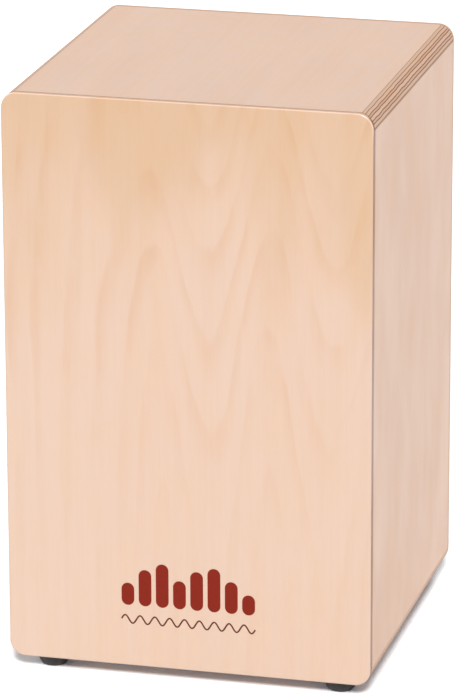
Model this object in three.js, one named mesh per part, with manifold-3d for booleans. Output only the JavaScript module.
// A box drum (cajon). A plywood box carries a thin front plate that is struck, a screwed back panel
// with a sound hole, and four domed rubber feet. Inside, a pivoted bar holds two fans of snare wires
// against the front plate, and a lever behind it swings them away.
//
// Millimetres. X runs across, Y from the front plate to the back panel, Z up from the floor.
// The origin is on the floor, under the middle of the drum.

import * as THREE from "three";
import { mergeVertices } from "three/addons/utils/BufferGeometryUtils.js";
import Module from "manifold-3d";

const wasm = await Module();
wasm.setup();

// ---------------------------------------------------------------- driving dimensions

const bodyWidth = 300;
const bodyDepth = 302;
const bodyHeight = 472;
const cornerRadius = 13;
const panelThickness = cornerRadius; // the seat's rounded edges take up its full thickness
const frontPlateThickness = 4;
const backPanelThickness = 4;
const gap = 0.3; // between pieces that turn, or that are cut to let each other in

const foot = { radius: 14, standRadius: 8, height: 13.5, fromSide: 30, fromFront: 26, bore: 8 };
const soundHole = { radius: 60, height: 320 };
const brace = { leg: 20, length: 220 };

const woodScrew = { shank: 1.75, head: 3.5, headDepth: 2.4, length: 22, tip: 4 };
const footScrew = { shank: 2, head: 4, headDepth: 2.6, length: 21, tip: 3 };
const fanScrew = { shank: 1.25, head: 2.7, headDepth: 1.7, length: 9, tip: 2 };
const footWasher = { bore: 2.3, radius: 7, thickness: 1 };
const backScrews = { fromEnds: 30, fromMiddle: 70 };

const bar = { length: 238, depth: 18, height: 24, pivotHeight: 400, restTilt: -3 };
const pivotPin = { radius: 3, inBar: 23, inBlock: 12 };
const pivotBlock = { width: 16, depth: 36, height: 44, screwSpacing: 28 };
const feltWasher = { bore: 3.3, radius: 9 };
const fan = { width: 88, height: 16, thickness: 1.2, offset: 54, screwSpacing: 56, screwRise: 4 };
const wire = { count: 12, spacing: 7.2, radius: 1.1, top: -0.5, length: 124, sunk: 0.7, restGap: 0.35 };
const lever = { radius: 3, length: 150, inBar: 10 };
const knob = { radius: 10, neck: 6, length: 28, bore: 12 };

// ---------------------------------------------------------------- derived places

const front = -bodyDepth / 2;
const back = bodyDepth / 2;
const side = bodyWidth / 2;
const bottom = foot.height;
const top = bottom + bodyHeight;

const frontInner = front + frontPlateThickness;
const backInner = back - backPanelThickness;
const sideInner = side - panelThickness;
const bottomInner = bottom + panelThickness;
const topInner = top - panelThickness;

// The bar turns about a pivot that lets the wire tips just clear the front plate at rest.
const tilt = THREE.MathUtils.degToRad(bar.restTilt);
const fanBack = -bar.depth / 2 - gap;
const fanFront = fanBack - fan.thickness;
const wireAxis = fanFront + wire.sunk - wire.radius;
const wireFront = wireAxis - wire.radius;
const wireTip = wire.top - wire.length;
const tipReach = wireTip * Math.sin(tilt) - wireFront * Math.cos(tilt);
const pivotY = frontInner + tipReach + wire.restGap;
const blockFace = sideInner - pivotBlock.width;

const hands = [
  { hand: "left", direction: -1 },
  { hand: "right", direction: 1 },
];

const footPlaces = [
  { end: "front", y: front + foot.fromFront },
  { end: "rear", y: back - foot.fromFront },
].flatMap(({ end, y }) =>
  hands.map(({ hand, direction }) => ({ name: `${end}_${hand}`, x: direction * (side - foot.fromSide), y })),
);

const backScrewPlaces = findBackScrewPlaces();
const fanScrewPlaces = hands.flatMap(({ direction }) => fanScrewPair(direction));

// Ten screws round the back panel, each in the middle of the panel edge behind it.
function findBackScrewPlaces() {
  const edgeMiddle = panelThickness / 2;
  const heights = [bottom + backScrews.fromEnds, (bottom + top) / 2, top - backScrews.fromEnds];
  const sideScrews = heights.flatMap((z) => pairAt(side - edgeMiddle, z));
  const endScrews = [bottom + edgeMiddle, top - edgeMiddle].flatMap((z) => pairAt(backScrews.fromMiddle, z));
  return [...sideScrews, ...endScrews];
}

function pairAt(x, z) {
  return hands.map(({ direction }) => ({ x: direction * x, z }));
}

function fanScrewPair(direction) {
  return [-1, 1].map((end) => direction * fan.offset + (end * fan.screwSpacing) / 2);
}

// ---------------------------------------------------------------- finishes

const finish = (color, roughness, metalness = 0) => ({ color, roughness, metalness });
const frontVeneer = finish(0xefcdb2, 0.5);
const birchPly = finish(0xe6c9b4, 0.55);
const backPly = finish(0xe0c4ac, 0.6);
const braceWood = finish(0xe2c79c, 0.7);
const beech = finish(0xd2a679, 0.6);
const rubber = finish(0x2b2729, 0.85);
const steel = finish(0xb9bcc0, 0.35, 1);
const zincSteel = finish(0xa9a9a4, 0.4, 1);
const felt = finish(0x6f1f22, 0.95);
const blackPlastic = finish(0x1d1d1f, 0.5);

// ---------------------------------------------------------------- geometry helpers

const quarterTurn = Math.PI / 2;
const lidArcSteps = 8;
const plateArcSteps = 12;
const turnedSteps = 20;
const footSteps = 28;
const screwSteps = 16;
const wireSteps = 8;
const overrun = 1; // how far a cutter reaches past the face that it cuts

function slab(low, high) {
  const size = high.map((value, axis) => value - low[axis]);
  const middle = high.map((value, axis) => (value + low[axis]) / 2);
  return new THREE.BoxGeometry(...size).translate(...middle);
}

// Extrudes an outline drawn in X and Z, so that it fills Y from yLow to yHigh.
function extrudeAlongY(outline, yLow, yHigh, curveSegments) {
  const settings = { depth: yHigh - yLow, bevelEnabled: false, curveSegments };
  return new THREE.ExtrudeGeometry(outline, settings).rotateX(quarterTurn).translate(0, yHigh, 0);
}

// Turns a profile of [radius, height] pairs about Z. The profile runs upward on its outside.
function turned(profile, steps = turnedSteps) {
  const points = profile.map(([radius, height]) => new THREE.Vector2(radius, height));
  return new THREE.LatheGeometry(points, steps).rotateX(quarterTurn);
}

function rod(radius, low, high, steps = screwSteps) {
  return turned([[0, low], [radius, low], [radius, high], [0, high]], steps);
}

function ring(inner, outer, low, high) {
  return turned([[inner, low], [outer, low], [outer, high], [inner, high], [inner, low]]);
}

// Points a piece that was made along +Z in another direction, and moves it to a place.
function aimed(geometry, place, direction) {
  const up = new THREE.Vector3(0, 0, 1);
  const turn = new THREE.Quaternion().setFromUnitVectors(up, new THREE.Vector3(...direction));
  return geometry.applyQuaternion(turn).translate(...place);
}

function toSolid(geometry) {
  const bare = geometry.clone();
  bare.deleteAttribute("normal");
  bare.deleteAttribute("uv");
  const merged = mergeVertices(bare);
  const corners = [];
  for (let i = 0; i < merged.index.count; i += 3) {
    const [a, b, c] = merged.index.array.slice(i, i + 3);
    const hasArea = a !== b && b !== c && c !== a;
    if (hasArea) {
      corners.push(a, b, c);
    }
  }
  const vertProperties = new Float32Array(merged.attributes.position.array);
  const triVerts = new Uint32Array(corners);
  return new wasm.Manifold(new wasm.Mesh({ numProp: 3, vertProperties, triVerts }));
}

function toGeometry(solid) {
  const { vertProperties, triVerts } = solid.getMesh();
  const geometry = new THREE.BufferGeometry();
  geometry.setAttribute("position", new THREE.BufferAttribute(vertProperties, 3));
  geometry.setIndex(new THREE.BufferAttribute(triVerts, 1));
  geometry.computeVertexNormals();
  return geometry;
}

function cut(geometry, cutters) {
  const solid = cutters.reduce((rest, cutter) => rest.subtract(toSolid(cutter)), toSolid(geometry));
  return toGeometry(solid);
}

function joined(geometry, additions) {
  const solid = additions.reduce((sum, addition) => sum.add(toSolid(addition)), toSolid(geometry));
  return toGeometry(solid);
}

// ---------------------------------------------------------------- screws and their holes

// A screw's shank points down -Z. Height 0 is a pan head's bearing face, or a countersunk head's top.
function countersunkScrew({ shank, head, headDepth, length, tip }) {
  return turned([[0, -length], [shank, tip - length], [shank, -headDepth], [head, 0], [0, 0]], screwSteps);
}

function panScrew({ shank, head, headDepth, length, tip }) {
  const shoulder = [head, 0.45 * headDepth];
  const crown = [0.6 * head, headDepth];
  const shankEnd = [shank, tip - length];
  return turned([[0, -length], shankEnd, [shank, 0], [head, 0], shoulder, crown, [0, headDepth]], screwSteps);
}

function countersunkHole({ shank, head, headDepth, length }) {
  const wall = shank + gap;
  const mouth = head + gap;
  const flare = mouth + (overrun * (head - shank)) / headDepth;
  const end = -length - gap;
  const profile = [[0, end], [wall, end], [wall, -headDepth], [mouth, 0], [flare, overrun], [0, overrun]];
  return turned(profile, screwSteps);
}

function straightHole(radius, low, high) {
  return rod(radius + gap, low, high);
}

function backScrewHoles() {
  return backScrewPlaces.map(({ x, z }) => aimed(countersunkHole(woodScrew), [x, back, z], [0, 1, 0]));
}

// ---------------------------------------------------------------- box

function roundedOutline() {
  const inset = side - cornerRadius;
  const low = bottom + cornerRadius;
  const high = top - cornerRadius;
  const outline = new THREE.Shape();
  outline.absarc(inset, high, cornerRadius, 0, quarterTurn);
  outline.absarc(-inset, high, cornerRadius, quarterTurn, 2 * quarterTurn);
  outline.absarc(-inset, low, cornerRadius, 2 * quarterTurn, 3 * quarterTurn);
  outline.absarc(inset, low, cornerRadius, 3 * quarterTurn, 4 * quarterTurn);
  return outline;
}

// The section of the seat (facing 1) and of the bottom (facing -1): flat on the inside, with a
// quarter-round edge at each end of the outside.
function lidOutline(inner, facing) {
  const inset = side - cornerRadius;
  const clockwise = facing < 0;
  const outline = new THREE.Shape();
  outline.absarc(inset, inner, cornerRadius, 0, facing * quarterTurn, clockwise);
  outline.absarc(-inset, inner, cornerRadius, facing * quarterTurn, facing * Math.PI, clockwise);
  outline.closePath();
  return outline;
}

function topPanel() {
  return cut(extrudeAlongY(lidOutline(topInner, 1), frontInner, backInner, lidArcSteps), backScrewHoles());
}

function bottomPanel() {
  const panel = extrudeAlongY(lidOutline(bottomInner, -1), frontInner, backInner, lidArcSteps);
  const footHoles = footPlaces.map(({ x, y }) =>
    straightHole(footScrew.shank, bottom - overrun, bottomInner + overrun).translate(x, y, 0),
  );
  return cut(panel, [...backScrewHoles(), ...footHoles]);
}

function sidePanel(direction) {
  const [xLow, xHigh] = [direction * sideInner, direction * side].sort((a, b) => a - b);
  const panel = slab([xLow, frontInner, bottomInner], [xHigh, backInner, topInner]);
  return cut(panel, [...backScrewHoles(), ...blockScrewHoles(direction)]);
}

function frontPlate() {
  return extrudeAlongY(roundedOutline(), front, frontInner, plateArcSteps);
}

function backPanel() {
  const outline = roundedOutline();
  const hole = new THREE.Path();
  for (let turn = 0; turn < 4; turn += 1) {
    hole.absarc(0, soundHole.height, soundHole.radius, turn * quarterTurn, (turn + 1) * quarterTurn);
  }
  outline.holes.push(hole);
  return cut(extrudeAlongY(outline, backInner, back, plateArcSteps), backScrewHoles());
}

// A triangular glue brace in one long inner corner.
function cornerBrace(across, upward) {
  const x = across * sideInner;
  const z = upward > 0 ? topInner : bottomInner;
  const outline = new THREE.Shape();
  outline.moveTo(x, z);
  outline.lineTo(x - across * brace.leg, z);
  outline.lineTo(x, z - upward * brace.leg);
  outline.closePath();
  return extrudeAlongY(outline, -brace.length / 2, brace.length / 2, 1);
}

// ---------------------------------------------------------------- feet

// A rubber dome with an elliptical side, flat where it stands, with a blind bore for its screw.
function rubberFoot({ x, y }) {
  const sideSteps = 9;
  const flare = foot.radius - foot.standRadius;
  const boreRadius = footScrew.shank + gap;
  const boreEnd = bottom - foot.bore;
  const profile = [[0, 0]];
  for (let step = sideSteps; step >= 0; step -= 1) {
    const angle = (quarterTurn * step) / sideSteps;
    profile.push([foot.standRadius + flare * Math.cos(angle), bottom - foot.height * Math.sin(angle)]);
  }
  profile.push([boreRadius, bottom], [boreRadius, boreEnd], [0, boreEnd]);
  return turned(profile, footSteps).translate(x, y, 0);
}

// ---------------------------------------------------------------- snare: fixed pieces

function blockScrewPlaces(direction) {
  return [-1, 1].map((end) => [
    direction * blockFace,
    pivotY,
    bar.pivotHeight + (end * pivotBlock.screwSpacing) / 2,
  ]);
}

function blockScrewHoles(direction) {
  return blockScrewPlaces(direction).map((place) =>
    aimed(countersunkHole(woodScrew), place, [-direction, 0, 0]),
  );
}

function pivotBlockFor(direction) {
  const [xLow, xHigh] = [direction * blockFace, direction * sideInner].sort((a, b) => a - b);
  const low = [xLow, pivotY - pivotBlock.depth / 2, bar.pivotHeight - pivotBlock.height / 2];
  const high = [xHigh, pivotY + pivotBlock.depth / 2, bar.pivotHeight + pivotBlock.height / 2];
  const pinHole = straightHole(pivotPin.radius, -pivotPin.inBlock - gap, overrun);
  const bore = aimed(pinHole, [direction * blockFace, pivotY, bar.pivotHeight], [-direction, 0, 0]);
  return cut(slab(low, high), [bore, ...blockScrewHoles(direction)]);
}

function frictionWasher(direction) {
  const washer = ring(feltWasher.bore, feltWasher.radius, bar.length / 2 + gap, blockFace - gap);
  return aimed(washer, [0, pivotY, bar.pivotHeight], [direction, 0, 0]);
}

// ---------------------------------------------------------------- snare: the arm

// These pieces are drawn about the pivot, with the arm level.
function snareBar() {
  const [x, y, z] = [bar.length / 2, bar.depth / 2, bar.height / 2];
  const pinHoles = hands.map(({ direction }) =>
    aimed(straightHole(pivotPin.radius, x - pivotPin.inBar - gap, x + overrun), [0, 0, 0], [direction, 0, 0]),
  );
  const screwHoles = fanScrewPlaces.map((place) =>
    aimed(straightHole(fanScrew.shank, -fanScrew.length, overrun), [place, -y, fan.screwRise], [0, -1, 0]),
  );
  const leverHole = aimed(straightHole(lever.radius, -lever.inBar - gap, overrun), [0, y, 0], [0, 1, 0]);
  return cut(slab([-x, -y, -z], [x, y, z]), [...pinHoles, ...screwHoles, leverHole]);
}

function pin(direction) {
  const barEnd = bar.length / 2;
  const pinRod = rod(pivotPin.radius, barEnd - pivotPin.inBar, blockFace + pivotPin.inBlock);
  return aimed(pinRod, [0, 0, 0], [direction, 0, 0]);
}

// An end plate with its row of wires, which hang straight and free below it.
function snareFan(direction) {
  const middle = direction * fan.offset;
  const low = [middle - fan.width / 2, fanFront, -fan.height / 2];
  const high = [middle + fan.width / 2, fanBack, fan.height / 2];
  const firstWire = middle - ((wire.count - 1) / 2) * wire.spacing;
  const wires = Array.from({ length: wire.count }, (unused, index) =>
    rod(wire.radius, wireTip, wire.top, wireSteps).translate(firstWire + index * wire.spacing, wireAxis, 0),
  );
  const hole = straightHole(fanScrew.shank, -fan.thickness - overrun, overrun);
  const holes = fanScrewPair(direction).map((x) =>
    aimed(hole.clone(), [x, fanFront, fan.screwRise], [0, -1, 0]),
  );
  return cut(joined(slab(low, high), wires), holes);
}

function leverRod() {
  const barBack = bar.depth / 2;
  return aimed(rod(lever.radius, barBack - lever.inBar, barBack + lever.length), [0, 0, 0], [0, 1, 0]);
}

// A cone that widens from the neck to a half-round end, with a blind bore for the rod.
function leverKnob() {
  const endSteps = 6;
  const boreRadius = lever.radius + gap;
  const start = bar.depth / 2 + lever.length - knob.bore + gap;
  const roundStart = knob.length - knob.radius;
  const profile = [[0, knob.bore], [boreRadius, knob.bore], [boreRadius, 0], [knob.neck, 0]];
  for (let step = 0; step < endSteps; step += 1) {
    const angle = quarterTurn * (step / endSteps);
    profile.push([knob.radius * Math.cos(angle), roundStart + knob.radius * Math.sin(angle)]);
  }
  profile.push([0, knob.length]);
  return aimed(turned(profile), [0, start, 0], [0, 1, 0]);
}

// ---------------------------------------------------------------- assembly

function addPiece(parent, name, geometry, look) {
  const mesh = new THREE.Mesh(geometry, new THREE.MeshStandardMaterial(look));
  mesh.name = name;
  parent.add(mesh);
}

function addBox(drum) {
  addPiece(drum, "top_panel", topPanel(), birchPly);
  addPiece(drum, "bottom_panel", bottomPanel(), birchPly);
  addPiece(drum, "front_plate", frontPlate(), frontVeneer);
  addPiece(drum, "back_panel", backPanel(), backPly);
  for (const { hand, direction } of hands) {
    addPiece(drum, `side_panel_${hand}`, sidePanel(direction), birchPly);
    addPiece(drum, `corner_brace_top_${hand}`, cornerBrace(direction, 1), braceWood);
    addPiece(drum, `corner_brace_bottom_${hand}`, cornerBrace(direction, -1), braceWood);
  }
  backScrewPlaces.forEach(({ x, z }, index) => {
    const screw = aimed(countersunkScrew(woodScrew), [x, back, z], [0, 1, 0]);
    addPiece(drum, `back_screw_${index + 1}`, screw, zincSteel);
  });
}

// Each foot's screw goes down through a washer and the bottom panel, into the rubber.
function addFeet(drum) {
  const washerLow = bottomInner + gap;
  const washerHigh = washerLow + footWasher.thickness;
  for (const place of footPlaces) {
    const washer = ring(footWasher.bore, footWasher.radius, washerLow, washerHigh);
    const screw = panScrew(footScrew).translate(place.x, place.y, washerHigh + gap);
    addPiece(drum, `foot_${place.name}`, rubberFoot(place), rubber);
    addPiece(drum, `foot_washer_${place.name}`, washer.translate(place.x, place.y, 0), zincSteel);
    addPiece(drum, `foot_screw_${place.name}`, screw, zincSteel);
  }
}

function addPivots(drum) {
  for (const { hand, direction } of hands) {
    addPiece(drum, `pivot_block_${hand}`, pivotBlockFor(direction), beech);
    addPiece(drum, `felt_washer_${hand}`, frictionWasher(direction), felt);
    blockScrewPlaces(direction).forEach((place, index) => {
      const screw = aimed(countersunkScrew(woodScrew), place, [-direction, 0, 0]);
      addPiece(drum, `block_screw_${hand}_${index + 1}`, screw, zincSteel);
    });
  }
}

function makeSnareArm() {
  const arm = new THREE.Group();
  arm.position.set(0, pivotY, bar.pivotHeight);
  arm.rotation.x = tilt;
  addPiece(arm, "snare_bar", snareBar(), beech);
  for (const { hand, direction } of hands) {
    addPiece(arm, `pivot_pin_${hand}`, pin(direction), steel);
    addPiece(arm, `snare_fan_${hand}`, snareFan(direction), steel);
  }
  fanScrewPlaces.forEach((x, index) => {
    const screw = aimed(panScrew(fanScrew), [x, fanFront - gap, fan.screwRise], [0, -1, 0]);
    addPiece(arm, `fan_screw_${index + 1}`, screw, zincSteel);
  });
  addPiece(arm, "lever_rod", leverRod(), steel);
  addPiece(arm, "lever_knob", leverKnob(), blackPlastic);
  return arm;
}

const drum = new THREE.Group();
addBox(drum);
addFeet(drum);
addPivots(drum);
drum.add(makeSnareArm());

export default drum;
